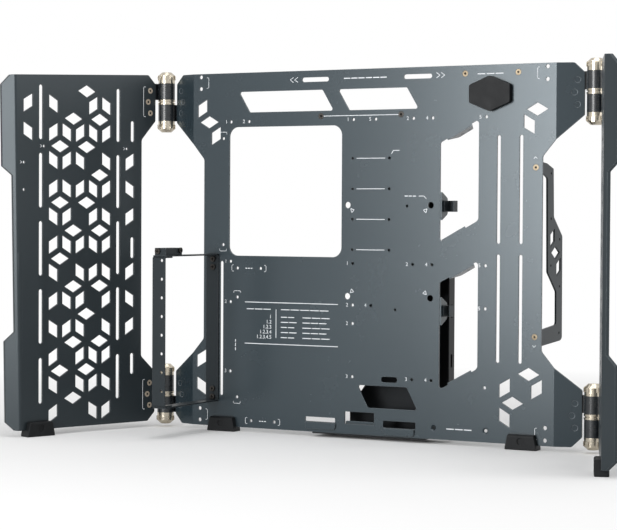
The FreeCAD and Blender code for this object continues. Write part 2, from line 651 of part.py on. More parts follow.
def knob(label, at, upside_down):
    turn = Rotation(Vector(1, 0, 0), 180 if upside_down else 0)
    body = new_body(label, Placement(at, turn))
    r, length, pin, collar = s.knob_radius, s.knob_length, s.pin_radius, s.knob_collar
    revolved(body, "turned", [(0, s.knob_bore), (pin, s.knob_bore), (pin, 0), (s.barrel_radius, 0),
                              (s.barrel_radius, collar), (r, collar), (r, length - s.knob_taper),
                              (s.knob_end, length, 1.0), (0, length)])
    edges = []
    for k in range(8):
        a = math.pi / 4 * k
        c, d = math.cos(a), math.sin(a)
        ring = [(r - 1.5, -1.7), (r + 2, -1.7), (r + 2, 1.7), (r - 1.5, 1.7)]
        edges += outline([(x * c - y * d, x * d + y * c) for x, y in ring])
    sketch = draw(body, "notches_outline", "XY_Plane", edges, lift="sizes.knob_collar")
    feature = body.newObject("PartDesign::Pocket", label + "_notches")
    feature.Profile = sketch
    feature.setExpression("Length", "sizes.knob_length")
    feature.Reversed = True
    feature.Refine = False
    return body


def pin_and_ring(side_name, side, name, middle):
    axis = BOARD + hinge_axis(side)
    reach = s.ring_length / 2 + s.barrel_length
    pin = doc.addObject("Part::Cylinder", "%s_%s_hinge_pin" % (side_name, name))
    pin.Label = pin.Name
    pin.setExpression("Radius", "sizes.pin_radius")
    pin.setExpression("Height", "sizes.ring_length + 2 * (sizes.barrel_length + sizes.knob_bore)")
    pin.Placement = Placement(axis + Vector(0, 0, middle - reach - s.knob_bore), Rotation())
    NODES.append(pin)
    ring = new_body("%s_%s_hinge_rings" % (side_name, name), Placement(axis + Vector(0, 0, middle), Rotation()))
    r, half, pin_r, groove = s.ring_radius, s.ring_length / 2, s.pin_radius, s.ring_groove / 2
    revolved(ring, "turned", [(pin_r, -half), (r, -half), (r, -groove), (r - 2 * groove, -groove),
                              (r - 2 * groove, groove), (r, groove), (r, half), (pin_r, half)])
    knob("%s_%s_top_knob" % (side_name, name), axis + Vector(0, 0, middle + reach), False)
    knob("%s_%s_end_knob" % (side_name, name), axis + Vector(0, 0, middle - reach), True)


def leaf_screws(side_name, side, ear):
    owner = "ear" if ear else "wing"
    points, way = leaf_screw_points(side, s.axis_reach, ear)
    screws = [screw(p, way, s.panel_sheet + s.leaf_sheet, s.panel_sheet) for p in points]
    shape_node("%s_%s_hinge_screws" % (side_name, owner), Part.makeCompound(screws),
               ear_place(side) if ear else wing_place(side))


# Wings

LEANING = {0: (0, 3, 4), 1: (0, 1, 2, 3, 4), 2: (0, 1, 2, 4), 3: (0, 1, 2, 3, 4), 4: (0, 1, 3, 4),
           5: (0, 1, 2, 3, 4), 6: (0, 2, 3, 4), 7: (0, 1, 2, 4), 8: (0, 1, 2, 4), 9: (0, 2, 3, 4),
           10: (0, 2, 3, 4), 11: (0, 3, 4)}
FLAT = {0: (2,), 1: (1, 3), 2: (0, 2), 3: (3,), 4: (0, 2), 5: (1, 3), 6: (0,), 7: (1, 3), 8: (2,),
        9: (1, 3), 10: (0, 2), 11: (1,)}
BESIDE = ((48.4, 2, False), (48.4, 3, True), (48.4, 4, False), (48.4, 6, False), (48.4, 7, True),
          (48.4, 8, False), (186.9, 0, False), (186.9, 1, True))


def fold_at(z):
    """Distance of a wing's outer fold from its hinge axis."""
    middle = (s.wing_top + s.wing_bottom) / 2
    return s.wing_corner + s.wing_lean * (z - middle) / (s.wing_top - s.wing_bottom)


def wing_outline():
    wide = s.flange_width * math.cos(math.radians(s.flange_angle))
    thin = s.flange_waist * math.cos(math.radians(s.flange_angle))
    r, near = s.edge_round, s.axis_reach
    step = s.ear_chamfer
    drop = s.wing_top - s.wing_drop
    return [(near, 2.4, r), (s.wing_waist, -19.5, 2 * r), (s.wing_waist, -267.7, 2 * r), (near, -286.0, r),
            (near, s.wing_bottom + step, r), (near + step, s.wing_bottom, r),
            (fold_at(-343) + 4.0, s.wing_bottom, 1), (fold_at(-334) + wide, -334.0, 2),
            (fold_at(-245) + wide, -245.0, 2), (fold_at(-234) + thin, -234.5, 3),
            (fold_at(-63) + thin, -63.0, 3), (fold_at(-53) + wide, -53.0, 2),
            (fold_at(36) + wide, 36.0, 2), (fold_at(46) + 4.2, drop, 1),
            (near + step, s.wing_top, r), (near, s.wing_top - step, r)][::-1]


def wing_rows(side_rows):
    """Cells of some rows: leaning ones, and flat ones above them."""
    p, rise = s.cell_pitch, s.cell_pitch * ROW_RISE
    edges = []
    for row in side_rows:
        for c in LEANING[row]:
            edges += leaning_cell(153.3 - p * c, 16.9 - rise * row, (c + row) % 2 == 0)
        for j in FLAT[row]:
            edges += flat_cell(144.3 - p * j, 32.5 - rise * row)
    return edges


def wing(side_name, side):
    body = new_body("%s_wing_panel" % side_name, wing_place(side))
    middle = side * (s.axis_proud + s.wing_sheet / 2)
    fold = math.radians(s.flange_angle)
    reach = s.flange_width + 10
    corner = fold_at(s.wing_bottom)
    path = [(-10, middle), (corner, middle),
            (corner + reach * math.cos(fold), middle + side * reach * math.sin(fold))]
    pad(body, "sheet", "XY_Plane", folded(path, s.wing_sheet, s.bend_radius), "sizes.wing_top - sizes.wing_bottom",
        lift="sizes.wing_bottom", lean=Vector(s.wing_lean / (s.wing_top - s.wing_bottom), 0, 1))
    trim(body, "edge", "XZ_Plane", wing_outline())
    edges = []
    for column in (s.slot_inner, s.slot_inner + s.slot_spacing):
        for k in range(4):
            edges += slot(column, 7.2 - s.slot_pitch * k, s.slot_length, s.slot_width)
        edges += slot(column, -289.3, 50.5, s.slot_width)
    for k in range(3):
        edges += slot(s.short_column, -10.5 - s.short_pitch * k, s.short_slot, s.slot_width)
    for v, z in ((192.4, -48.5), (192.4, -78.4), (166.1, -30.3), (52.7, -30.4)):
        edges += circle(v, z, s.small_hole)
    cut(body, "slots", "XZ_Plane", edges)
    for rows in ((0, 1, 2, 3), (4, 5, 6, 7), (8, 9, 10, 11)):
        cut(body, "cells_%d" % rows[0], "XZ_Plane", wing_rows(rows))
    edges = []
    for v, row, rising in BESIDE:
        edges += leaning_cell(v, 16.9 - s.cell_pitch * ROW_RISE * row, rising)
    cut(body, "side_cells", "XZ_Plane", edges)
    points, way = leaf_screw_points(side, s.axis_reach, False)
    bore(body, "screw_holes", screw_clearances(points, way, 3 * s.wing_sheet, s.wing_sheet))
    return body


# Bracket for an expansion card

def card_bracket():
    t, x = s.card_sheet, "sizes.card_left"
    body = board_body("card_bracket_base")
    upper, lower = s.card_upper - t / 2, s.card_lower + t / 2
    path = [(-s.card_reach, upper), (-t / 2, upper), (-t / 2, lower), (-s.card_reach, lower)]
    pad(body, "strip", "YZ_Plane", folded(path, t, 1.0), "sizes.card_width", lift=x)
    way = Vector(0, 1, 0)
    bore(body, "screw_holes", Part.makeCompound([
        Part.makeCylinder(s.screw_shank / 2 + s.screw_clear, 4 * t, Vector(px, -3 * t, z), way)
        for px, z in CARD_SCREWS]))
    rail = board_body("card_rail")
    inside, y = 1.5 * t, -s.card_reach - t / 2
    path = [(-s.card_reach + 14, s.card_upper - inside), (y, s.card_upper - inside),
            (y, s.card_lower + inside), (-s.card_reach + 14, s.card_lower + inside)]
    pad(rail, "strip", "YZ_Plane", folded(path, t, 1.0), "sizes.card_width", lift=x)
    holes = [Part.makeCylinder(s.card_hole / 2, 4 * t,
                               Vector(s.card_column, y - 2 * t, s.card_first - s.card_pitch * k), way)
             for k in range(8)]
    bore(rail, "card_holes", Part.makeCompound(holes))
    clamp = board_body("card_rail_clamp")
    x0, z0 = s.card_left + 2, s.card_upper
    section = box_outline(x0, z0, x0 + 14, z0 + s.clamp_height, 0.6)
    pad(clamp, "block", "XZ_Plane", section, "sizes.clamp_length",
        lift="sizes.card_reach - sizes.clamp_length")
    front = Vector(x0 + 4, -s.card_reach, z0 + 4.4)
    flank = Vector(x0 + 14, -s.card_reach + 29, z0 + 5.2)
    shank = s.screw_shank / 2
    bore(clamp, "screw_holes", Part.makeCompound([
        Part.makeCylinder(shank + s.screw_clear, 9, front, way),
        Part.makeCylinder(shank + s.screw_clear, 9, flank, Vector(-1, 0, 0))]))
    screws = []
    heads = [(Vector(px, -t, z), way, 2 * t + 2) for px, z in CARD_SCREWS]
    heads += [(front, way, 8.0), (flank, Vector(-1, 0, 0), 8.0)]
    for at, into, length in heads:
        head = Part.makeCylinder(s.screw_head / 2 - 0.2, 1.8, at, into * -1)
        cross = Part.makeBox(3.2, 0.8, 1.2, Vector(-1.6, -0.4, 0)).fuse(
            Part.makeBox(0.8, 3.2, 1.2, Vector(-0.4, -1.6, 0)))
        cross.Placement = Placement(at - into * 1.8, Rotation(Vector(0, 0, 1), into))
        shaft = Part.makeCylinder(shank, length, at, into)
        screws.append(head.fuse(shaft).cut(cross))
    shape_node("card_bracket_screws", Part.makeCompound(screws), Placement(BOARD, Rotation()))


# Side bracket behind the right edge

def pump_bracket():
    body = board_body("pump_bracket")
    t = s.panel_sheet
    outer = [(t, s.pump_upper - 0.5), (13, s.pump_upper - 1.5, 6), (32, -54.5, 2), (34, -105.5, 3),
             (59, -125.9, 3), (60, s.pump_lower + 5, 4), (54, s.pump_lower + 3), (t, s.pump_lower)]
    inner = [(t, -59.7), (15.2, -64.7, 3), (17.6, -163.6, 4), (42.6, -184.6, 4), (43, -219.9, 4), (t, -223.3)]
    shape = outline(outer[::-1][:1] + inner[::-1] + outer)
    right = "sizes.panel_middle + sizes.waist_half - sizes.pump_sheet"
    pad(body, "plate", "YZ_Plane", shape, "sizes.pump_sheet", lift=right)
    x1 = WAIST_RIGHT
    for name, z0, z1 in (("upper_foot", -59.6, s.pump_upper - 0.5), ("lower_foot", s.pump_lower, -223.4)):
        pad(body, name, "XZ_Plane", box_outline(x1 - s.pump_foot, z0, x1, z1, 1.0), "sizes.pump_sheet",
            lift="-sizes.panel_sheet", back=True)
    edges = []
    for y, z in ((25, -59.5), (25.6, -107.2), (51.2, -129.2), (26, -156.8), (51.8, -179.4), (51.2, -229)):
        edges += circle(y, z, s.small_hole)
    edges += leaning_cell(30.4, -127.7, True) + flat_cell(39.4, -143.3) + leaning_cell(48.4, -158.9, True)
    cut(body, "holes", "YZ_Plane", edges)
    way = Vector(0, 1, 0)
    bore(body, "screw_holes", Part.makeCompound([
        Part.makeCylinder(s.screw_shank / 2 + s.screw_clear, 4 * t, Vector(x, 0, z), way)
        for x, z in PUMP_SCREWS]))


# Cable tray and switch housing behind the panel

def rear_tray():
    body = board_body("rear_cable_tray")
    t, w, back = s.panel_sheet, s.tray_sheet, s.tray_depth
    top = s.tray_top
    wall = [(137, top), (137, -165, 2), (160, -178, 2), (160, -290, 2), (154.6, -293.4), (149.6, -300.3),
            (136, -301), (136, s.panel_bottom - 0.5), (262, s.panel_bottom - 0.5), (262, -172, 2),
            (244, -158, 2), (244, top)]
    pad(body, "back", "XZ_Plane", outline(wall), "sizes.tray_sheet", lift="-sizes.tray_depth")
    for name, x0, x1, z0, z1, y0, y1 in (
            ("top_wall", 137, 244, top - w, top, t, back),
            ("bottom_wall", 106, 243, s.panel_bottom - w, s.panel_bottom, 0, back),
            ("side_rim", 262 - w, 262, s.panel_bottom, -171.5, back - s.tray_rim, back),
            ("foot_tab", 240, 258, -345.0, -325.0, t, t + w),
            ("foot_wall", 256.5, 258, -345.0, -325.0, t, back)):
        edges = box_outline(y0, z0, y1, z1) if x1 - x0 <= 2 else box_outline(x0, y0, x1, y1)
        if x1 - x0 <= 2:
            pad(body, name, "YZ_Plane", edges, str(x1 - x0), lift=str(x0))
        else:
            pad(body, name, "XY_Plane", edges, str(z1 - z0), lift=str(z0))
    low, high = top - w, s.tray_tab
    flange = [(108, low), (219, low), (219, high, 2), (205.6, high, 2), (205.6, top + w), (121.6, top + w),
              (121.6, high, 2), (108, high, 2)]
    pad(body, "top_flange", "XZ_Plane", outline(flange), "sizes.tray_sheet", lift="-sizes.panel_sheet", back=True)
    slots = []
    for z in (-208.0, -262.0):
        slots += slot(back - s.tray_rim / 2 - 0.5, z, 15.0, 4.0)
    rim = draw(body, "rim_slots_outline", "YZ_Plane", slots, lift="262 - sizes.tray_sheet - 1")
    feature = body.newObject("PartDesign::Pocket", body.Label + "_rim_slots")
    feature.Profile = rim
    feature.setExpression("Length", "5")
    feature.Reversed = True
    feature.Refine = False
    bore(body, "screw_holes", Part.makeCompound([
        Part.makeCylinder(s.screw_shank / 2 + s.screw_clear, 10, Vector(x, 0, z), Vector(0, 1, 0))
        for x, z in TRAY_SCREWS]))


def hub():
    body = board_body("hub_housing")
    x0, x1 = s.hub_middle - s.hub_width / 2, s.hub_middle + s.hub_width / 2
    z1 = s.hub_upper
    z0 = z1 - s.hub_height
    bevel = s.hub_bevel
    block = outline([(x0 + bevel, z0, 3), (x1 - bevel, z0, 3), (x1, z0 + bevel, 3), (x1, z1, 3),
                     (x0, z1, 3), (x0, z0 + bevel, 3)])
    pad(body, "block", "XZ_Plane", block, "sizes.hub_depth", lift="-sizes.panel_sheet", back=True)
    y, y2 = s.panel_sheet, s.panel_sheet + s.hub_depth
    ports = [Part.makeBox(14.0, 6.5, 12.0, Vector(s.hub_middle + dx - 7.0, y + 9.0, z1 - 10.0))
             for dx in (-20.0, 0.0)]
    ports.append(Part.makeCylinder(3.0, 12.0, Vector(s.hub_middle + 20, y + 12.0, z1 - 10.0)))
    ports.append(Part.makeBox(26.0, 12.0, 30.0, Vector(s.hub_middle - 13.0, y2 - 8.0, z0 + 6.0)))
    ports += [Part.makeCylinder(s.screw_shank / 2 + s.screw_clear, 8.0, Vector(x, 0, z), Vector(0, 1, 0))
              for x, z in HUB_SCREWS]
    bore(body, "ports", Part.makeCompound(ports))
    cap = board_body("hub_cap")
    pad(cap, "front", "XZ_Plane", cap_outline(1.0, 2.5), "sizes.cap_proud")
    pad(cap, "spigot", "XZ_Plane", cap_outline(s.cap_spigot, 2.0), "sizes.panel_sheet", back=True)


def panel_screws():
    t, way = s.panel_sheet, Vector(0, 1, 0)
    place = Placement(BOARD, Rotation())
    for label, points, length in (("hub_screws", HUB_SCREWS, 8.0), ("pump_bracket_screws", PUMP_SCREWS, 4.0),
                                  ("tray_screws", TRAY_SCREWS, 3.5)):
        screws = [screw(Vector(x, 0, z), way, length, t) for x, z in points]
        shape_node(label, Part.makeCompound(screws), place)


def strap_hook(label, z, reach):
    body = board_body(label)
    x = s.pass_left + s.panel_sheet - 0.05 + s.hook_sheet / 2
    path = [(x, 5.0), (x, 19.0), (x + reach, 19.0), (x + reach, 9.0)]
    pad(body, "strip", "XY_Plane", folded(path, s.hook_sheet, 0.8), "12", lift=str(z))


def centre_body(label):
    return board_body(label)


centre_panel()
foot("centre_foot_left", centre_body, -8.6, s.panel_bottom, -1, 0)
foot("centre_foot_right", centre_body, 356.0, s.panel_bottom, -1, 0)
card_bracket()
pump_bracket()
rear_tray()
hub()
panel_screws()
strap_hook("upper_strap_hook", -100.5, 9.5)
strap_hook("lower_strap_hook", -213.2, 5.5)
for side_name, side in SIDES:
    for name, middle in HINGES:
        hinge_leaf(side_name, side, name, middle, True)
        pin_and_ring(side_name, side, name, middle)
        hinge_leaf(side_name, side, name, middle, False)
    leaf_screws(side_name, side, True)
    leaf_screws(side_name, side, False)
    wing(side_name, side)
    foot("%s_wing_foot" % side_name, lambda label: new_body(label, wing_place(side)), 172.8,
         s.wing_bottom, -side, side * s.axis_proud)


def write_nodes():
    doc.recompute()
    for item in doc.Objects:
        if "Invalid" in item.State or "Error" in item.State:
            raise RuntimeError("%s failed: %s" % (item.Label, item.State))
    for node in NODES:
        if node.Shape.isNull() or not node.Shape.isValid():
            raise RuntimeError("%s has no valid shape" % node.Label)
    os.makedirs("parts", exist_ok=True)
    for node in NODES:
        node.Shape.exportStep("parts/%s.step" % node.Label)
        print(node.Label, len(node.Shape.Solids), round(node.Shape.Volume, 1))


write_nodes()
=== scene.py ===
"""Open air test bench: materials, printed marks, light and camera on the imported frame. Metres."""
import bpy
import bmesh
import json
import math
from mathutils import Matrix, Vector


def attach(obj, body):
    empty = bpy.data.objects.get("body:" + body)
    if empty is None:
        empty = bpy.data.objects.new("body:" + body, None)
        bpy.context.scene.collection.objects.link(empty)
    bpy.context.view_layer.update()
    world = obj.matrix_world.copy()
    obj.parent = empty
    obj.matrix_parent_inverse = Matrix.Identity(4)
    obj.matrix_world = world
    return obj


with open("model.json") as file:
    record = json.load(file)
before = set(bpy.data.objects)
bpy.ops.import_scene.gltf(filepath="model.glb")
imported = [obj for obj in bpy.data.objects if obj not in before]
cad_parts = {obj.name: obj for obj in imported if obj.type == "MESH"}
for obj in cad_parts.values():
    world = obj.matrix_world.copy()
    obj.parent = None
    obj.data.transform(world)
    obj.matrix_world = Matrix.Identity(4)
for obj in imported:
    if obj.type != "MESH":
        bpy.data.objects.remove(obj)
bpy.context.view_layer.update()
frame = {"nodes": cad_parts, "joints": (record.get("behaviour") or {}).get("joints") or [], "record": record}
scene = bpy.context.scene
FLOOR = -0.20645
BOARD = Vector((-0.19845, 0.0, 0.14355))        # top left board hole
NODES = frame["nodes"]
WORLD_LIGHT = 0.35
WING_TURN = {"left_wing": 250.0, "right_wing": -69.4}        # degrees at rest
WING_FACE = 0.0053                                            # from the hinge axis to the wing's face
PRINT_LIFT = 0.00005                                          # of printed marks above their sheet
# colour of the painted shade on hole walls and in narrow gaps
PAINTED_HOLE_SHADE = (0.002, 0.002, 0.002, 1.0)
# colour of the painted shade inside screw sockets
PAINTED_SOCKET_SHADE = (0.003, 0.003, 0.003, 1.0)


# Node helpers

def new_material(name):
    mat = bpy.data.materials.new(name)
    mat.use_nodes = True
    tree = mat.node_tree
    shader = tree.nodes["Principled BSDF"]
    return mat, tree, shader


def add(tree, kind, **values):
    node = tree.nodes.new(kind)
    for key, value in values.items():
        if key in node.inputs:
            node.inputs[key].default_value = value
        else:
            setattr(node, key, value)
    return node


def noise(tree, coords, scale, detail=3.0, rough=0.5):
    node = add(tree, "ShaderNodeTexNoise")
    node.inputs["Scale"].default_value = scale
    node.inputs["Detail"].default_value = detail
    node.inputs["Roughness"].default_value = rough
    tree.links.new(coords, node.inputs["Vector"])
    return node.outputs["Fac"]


def ramp(tree, value, low, high, stops=(0.0, 1.0)):
    node = add(tree, "ShaderNodeValToRGB")
    node.color_ramp.elements[0].position = stops[0]
    node.color_ramp.elements[1].position = stops[1]
    node.color_ramp.elements[0].color = tuple(low) + (1.0,)
    node.color_ramp.elements[1].color = tuple(high) + (1.0,)
    tree.links.new(value, node.inputs["Fac"])
    return node.outputs["Color"]


def spread(tree, value, low, high, from_low=0.0, from_high=1.0):
    node = add(tree, "ShaderNodeMapRange")
    for key, number in (("From Min", from_low), ("From Max", from_high), ("To Min", low), ("To Max", high)):
        node.inputs[key].default_value = number
    tree.links.new(value, node.inputs["Value"])
    return node.outputs["Result"]


def mix(tree, factor, a, b, blend="MIX"):
    node = add(tree, "ShaderNodeMix", data_type="RGBA", blend_type=blend)
    for socket, value in ((node.inputs[0], factor), (node.inputs[6], a), (node.inputs[7], b)):
        if isinstance(value, (int, float, tuple)):
            socket.default_value = value
        else:
            tree.links.new(value, socket)
    return node.outputs[2]


def rounded(tree, radius):
    """Normal that rounds sharp edges."""
    bevel = add(tree, "ShaderNodeBevel", samples=4)
    bevel.inputs["Radius"].default_value = radius
    return bevel.outputs["Normal"]


def edge_mask(tree, normal, low=0.55, high=0.98):
    """1 along sharp edges and 0 on flat faces."""
    geometry = add(tree, "ShaderNodeNewGeometry")
    dot = add(tree, "ShaderNodeVectorMath", operation="DOT_PRODUCT")
    tree.links.new(normal, dot.inputs[0])
    tree.links.new(geometry.outputs["Normal"], dot.inputs[1])
    return spread(tree, dot.outputs["Value"], 1.0, 0.0, low, high)


def scaled(tree, value, share):
    node = add(tree, "ShaderNodeMath", operation="MULTIPLY")
    node.inputs[1].default_value = share
    tree.links.new(value, node.inputs[0])
    return node.outputs[0]


def bump(tree, height, distance, strength, base=None):
    node = add(tree, "ShaderNodeBump")
    node.inputs["Distance"].default_value = distance
    node.inputs["Strength"].default_value = strength
    tree.links.new(height, node.inputs["Height"])
    if base is not None:
        tree.links.new(base, node.inputs["Normal"])
    return node.outputs["Normal"]


def coordinates(tree):
    return add(tree, "ShaderNodeTexCoord").outputs["Object"]


def painted_shade_mask(tree, depth, low, high):
    """Mask for painted shade: 1 in narrow holes and sockets and 0 on open faces."""
    node = add(tree, "ShaderNodeAmbientOcclusion", samples=6)
    node.inputs["Distance"].default_value = depth
    return spread(tree, node.outputs["AO"], 1.0, 0.0, low, high)


# Materials

def paint(name, low, high, roughness=0.38, specular=0.3, edge_highlight=(0.30, 0.32, 0.34), highlight_share=0.6):
    """Fine-textured powder paint, with a painted highlight along its edges and painted shade in its holes."""
    mat, tree, shader = new_material(name)
    coords = coordinates(tree)
    base = ramp(tree, noise(tree, coords, 6.0, 2.0), low, high, (0.25, 0.75))
    grain = noise(tree, coords, 1500.0, 4.0, 0.6)
    speckle = ramp(tree, grain, (0.92, 0.92, 0.92), (1.08, 1.08, 1.08), (0.3, 0.7))
    base = mix(tree, 1.0, base, speckle, "MULTIPLY")
    normal = rounded(tree, 0.0006)
    # painted highlight: sharp edges are mixed towards a light edge colour
    base = mix(tree, scaled(tree, edge_mask(tree, normal), highlight_share), base, tuple(edge_highlight) + (1.0,))
    # painted shade: hole walls and narrow gaps are darkened by ambient occlusion
    base = mix(tree, painted_shade_mask(tree, 0.004, 0.35, 0.8), base, PAINTED_HOLE_SHADE)
    tree.links.new(base, shader.inputs["Base Color"])
    shader.inputs["Specular IOR Level"].default_value = specular
    shader.inputs["Specular Tint"].default_value = (0.86, 0.95, 1.0, 1.0)
    smear = noise(tree, coords, 22.0, 4.0, 0.65)
    tree.links.new(spread(tree, smear, roughness - 0.004, roughness + 0.006, 0.3, 0.7), shader.inputs["Roughness"])
    peel = noise(tree, coords, 420.0, 2.0)
    first = bump(tree, peel, 0.00010, 0.02, normal)
    tree.links.new(bump(tree, grain, 0.00008, 0.04, first), shader.inputs["Normal"])
    return mat


def metal(name, low, high, roughness, metallic=1.0, scratch=0.3, socket=0.0, specular=0.5):
    """Turned or plated metal with fine lines round its axis. socket: depth of the painted shade in its sockets."""
    mat, tree, shader = new_material(name)
    coords = coordinates(tree)
    stretch = add(tree, "ShaderNodeMapping")
    stretch.inputs["Scale"].default_value = (220.0, 220.0, 5200.0)
    tree.links.new(coords, stretch.inputs["Vector"])
    lines = noise(tree, stretch.outputs["Vector"], 1.0, 3.0, 0.6)
    cloud = noise(tree, coords, 180.0, 3.0)
    base = ramp(tree, cloud, low, high, (0.3, 0.7))
    if socket:
        # painted shade: screw sockets are darkened by ambient occlusion
        base = mix(tree, painted_shade_mask(tree, socket, 0.45, 0.85), base, PAINTED_SOCKET_SHADE)
    tree.links.new(base, shader.inputs["Base Color"])
    shader.inputs["Metallic"].default_value = metallic
    shader.inputs["Specular IOR Level"].default_value = specular
    tree.links.new(spread(tree, lines, roughness - 0.05, roughness + 0.07, 0.3, 0.7), shader.inputs["Roughness"])
    tree.links.new(bump(tree, lines, 0.00003, scratch, rounded(tree, 0.0004)), shader.inputs["Normal"])
    return mat


def plastic(name, low, high, roughness):
    """Moulded plastic with a fine spark-eroded texture."""
    mat, tree, shader = new_material(name)
    coords = coordinates(tree)
    grain = add(tree, "ShaderNodeTexVoronoi")
    grain.inputs["Scale"].default_value = 2200.0
    tree.links.new(coords, grain.inputs["Vector"])
    dust = noise(tree, coords, 90.0, 5.0, 0.7)
    normal = rounded(tree, 0.0007)
    base = ramp(tree, dust, low, high, (0.35, 0.75))
    worn = tuple(min(1.0, 3.5 * c + 0.03) for c in high) + (1.0,)
    tree.links.new(mix(tree, scaled(tree, edge_mask(tree, normal), 0.35), base, worn), shader.inputs["Base Color"])
    tree.links.new(spread(tree, dust, roughness - 0.06, roughness + 0.1, 0.3, 0.7), shader.inputs["Roughness"])
    shader.inputs["Specular IOR Level"].default_value = 0.18
    tree.links.new(bump(tree, grain.outputs["Distance"], 0.00006, 0.3, normal), shader.inputs["Normal"])
    return mat


def ink(name, tone):
    """Silk-screened ink, thin in places."""
    mat, tree, shader = new_material(name)
    coords = coordinates(tree)
    thin = noise(tree, coords, 1400.0, 3.0, 0.7)
    worn = tuple(0.72 * c for c in tone)
    tree.links.new(ramp(tree, thin, worn, tone, (0.3, 0.55)), shader.inputs["Base Color"])
    shader.inputs["Roughness"].default_value = 0.6
    tree.links.new(bump(tree, thin, 0.00003, 0.2), shader.inputs["Normal"])
    return mat


# edge colours are painted highlights along edges; socket depths set the painted shade in screw sockets
PAINTS = {
    "panel_paint": paint("panel_paint", (0.013, 0.022, 0.028), (0.018, 0.029, 0.036), roughness=0.27, specular=0.62,
                         edge_highlight=(0.40, 0.43, 0.46), highlight_share=0.75),
    "wing_paint": paint("wing_paint", (0.013, 0.018, 0.021), (0.018, 0.024, 0.028), roughness=0.32, specular=0.42),
    "bracket_paint": paint("bracket_paint", (0.015, 0.019, 0.022), (0.022, 0.027, 0.030), specular=0.22),
    "black_paint": paint("black_paint", (0.006, 0.006, 0.007), (0.011, 0.011, 0.012), specular=0.15,
                         edge_highlight=(0.05, 0.05, 0.055), highlight_share=0.4),
    "black_metal": metal("black_metal", (0.006, 0.008, 0.010), (0.012, 0.015, 0.018), 0.27, metallic=0.0,
                         scratch=0.08, specular=0.6),
    "gold_metal": metal("gold_metal", (0.44, 0.39, 0.31), (0.56, 0.51, 0.42), 0.17),
    "brass_screws": metal("brass_screws", (0.12, 0.095, 0.065), (0.18, 0.148, 0.105), 0.32, socket=0.004),
    "hinge_screws": metal("hinge_screws", (0.42, 0.35, 0.27), (0.56, 0.48, 0.38), 0.34, metallic=0.5, socket=0.003),
    "black_screws": metal("black_screws", (0.030, 0.028, 0.026), (0.055, 0.051, 0.047), 0.34, socket=0.003),
    "steel": metal("steel", (0.45, 0.45, 0.46), (0.62, 0.62, 0.63), 0.3),
    "black_plastic": plastic("black_plastic", (0.007, 0.008, 0.009), (0.012, 0.013, 0.014), 0.5),
}
INK = ink("silk_screen_ink", (0.80, 0.83, 0.86))

for part in frame["record"]["subparts"]:
    node = NODES[part["node"]]
    node.data.materials.clear()
    node.data.materials.append(PAINTS[part["material_slot"]])


# Printed marks: thin flat strips a hair in front of the sheet

def strip_mesh(name, outlines, place, material):
    """Flat faces from outlines in millimetres, laid on a plane by a matrix."""
    mesh = bpy.data.meshes.new(name)
    work = bmesh.new()
    for points in outlines:
        verts = [work.verts.new((x / 1000.0, 0.0, z / 1000.0)) for x, z in points]
        work.faces.new(verts)
    bmesh.ops.transform(work, matrix=place, verts=work.verts)
    work.to_mesh(mesh)
    work.free()
    piece = bpy.data.objects.new(name, mesh)
    scene.collection.objects.link(piece)
    mesh.materials.append(material)
    return piece


def line(a, b, width):
    dx, dz = b[0] - a[0], b[1] - a[1]
    length = math.hypot(dx, dz)
    nx, nz = -dz / length * width / 2, dx / length * width / 2
    return [(a[0] + nx, a[1] + nz), (b[0] + nx, b[1] + nz), (b[0] - nx, b[1] - nz), (a[0] - nx, a[1] - nz)]


def path(points, width):
    return [line(points[i], points[i + 1], width) for i in range(len(points) - 1)]


def chevrons(x, z, way, size, width=0.7):
    """Two nested arrow heads pointing left or right."""
    out = []
    for step in (0, 1):
        tip = x + way * (size + step * size * 0.9)
        out += path([(tip - way * size * 0.8, z + size), (tip, z), (tip - way * size * 0.8, z - size)], width)
    return out


def arrow(x, z, up, size=3.2, width=0.6):
    return path([(x - size * 0.6, z - up * size * 0.6), (x, z), (x + size * 0.6, z - up * size * 0.6)], width)


def bracket(x, z, way, height, depth=2.4, width=0.5):
    """Square bracket with cut corners beside a group of holes. way: side on which it is open."""
    h, c = height / 2, 1.0
    return path([(x + way * depth, z + h), (x + way * c, z + h), (x, z + h - c), (x, z - h + c),
                 (x + way * c, z - h), (x + way * depth, z - h)], width)


def lying_bracket(x, z, up, length, depth=2.4, width=0.5):
    """The same lying down, open upwards or downwards."""
    h, c = length / 2, 1.0
    return path([(x - h, z + up * depth), (x - h, z + up * c), (x - h + c, z), (x + h - c, z),
                 (x + h, z + up * c), (x + h, z + up * depth)], width)


def flag(x, z, way, up, size=4.4, width=0.7):
    """Small three-sided mark that points at a hole of the monitor mount."""
    return path([(x, z), (x + way * size, z + up * size * 0.3), (x + way * size * 0.3, z + up * size), (x, z)], width)


def dashes(x, z, length, count, width=1.1, gap=1.3):
    """A row of short plain bars."""
    each = (length - gap * (count - 1)) / count
    return [line((x + k * (each + gap), z), (x + k * (each + gap) + each, z), width) for k in range(count)]


